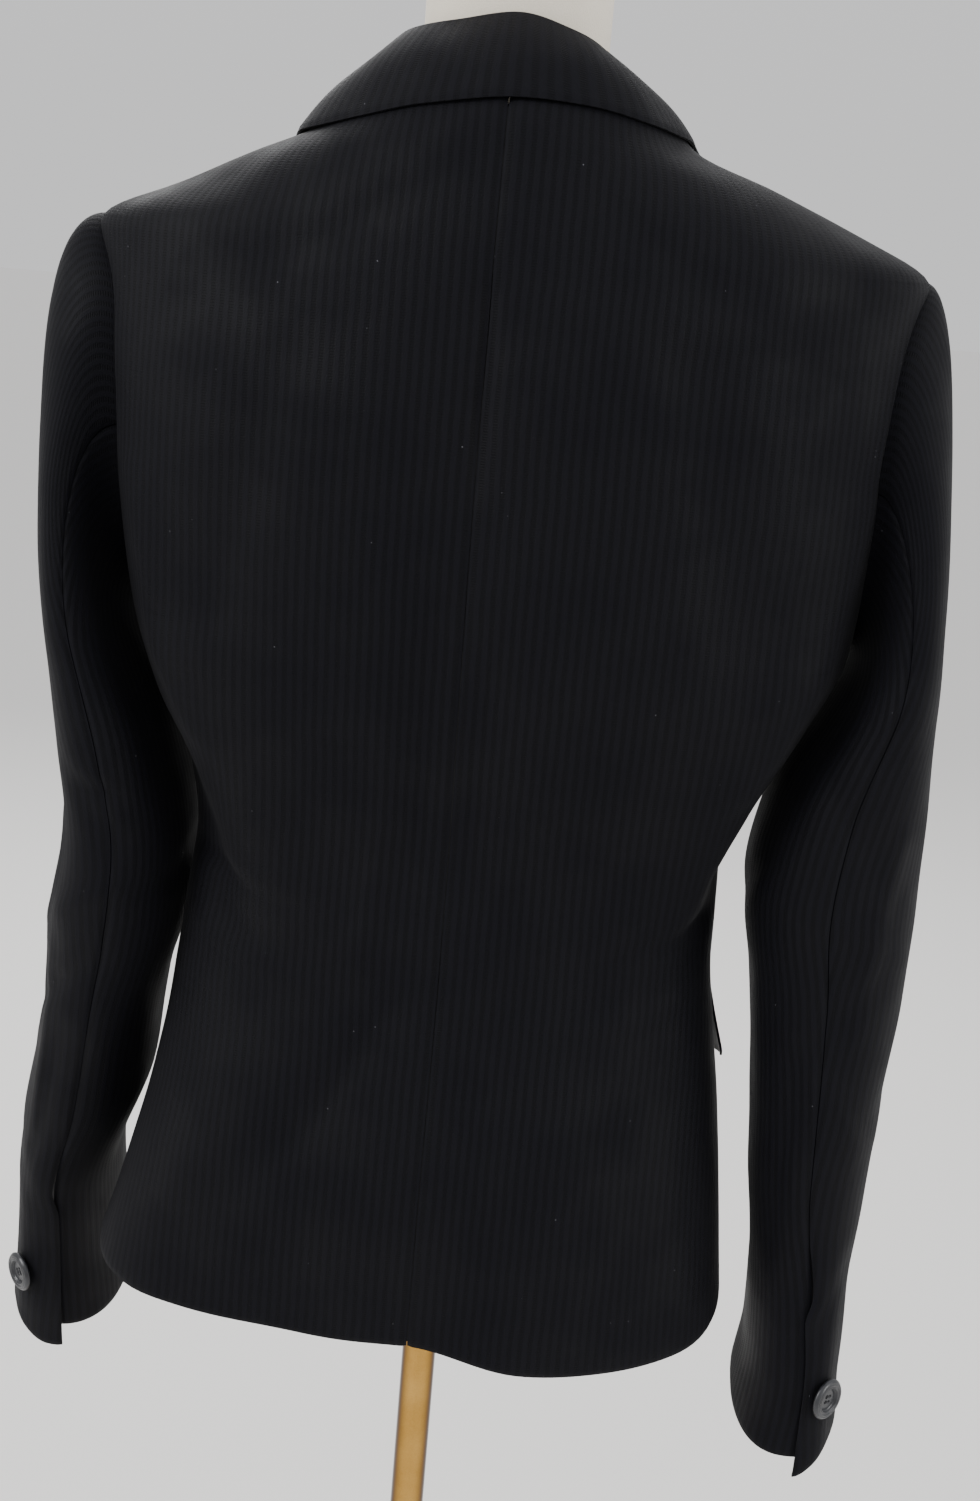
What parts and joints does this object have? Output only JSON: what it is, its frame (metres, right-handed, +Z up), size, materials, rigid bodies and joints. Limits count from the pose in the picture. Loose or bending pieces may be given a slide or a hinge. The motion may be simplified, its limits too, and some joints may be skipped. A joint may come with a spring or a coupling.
{
  "type": "blazer on dress form",
  "caption": "Buttoned blazer of thin cloth panels with turned collar, lapels and long sleeves, hanging on a limbless dress form with a pole and round foot.",
  "frame": {"origin": "on the floor, in the middle of the foot's flat underside, under the pole", "axes": "+Z up along the pole, -Y towards the front of the blazer, +X towards the wearer's left"},
  "size_m": [0.4809, 0.2823, 1.52],
  "materials": {
    "cloth": "near-black wool with a fine tonal stripe",
    "button": "dark grey, grooved rim",
    "form": "cream jersey cover",
    "gold": "polished gold"
  },
  "bodies": {
    "root": {"back_left": "cloth", "back_right": "cloth", "front_left": "cloth", "front_right": "cloth", "lapel_left": "cloth", "lapel_right": "cloth", "collar": "cloth", "sleeve_top_left": "cloth", "sleeve_top_right": "cloth", "sleeve_under_left": "cloth", "sleeve_under_right": "cloth", "pocket_flap_left": "cloth", "pocket_flap_right": "cloth", "front_button_1": "button", "front_button_2": "button", "cuff_button_left": "button", "cuff_button_right": "button", "form_body": "form", "form_pole": "gold", "form_base": "gold"}
  },
  "joints": []
}
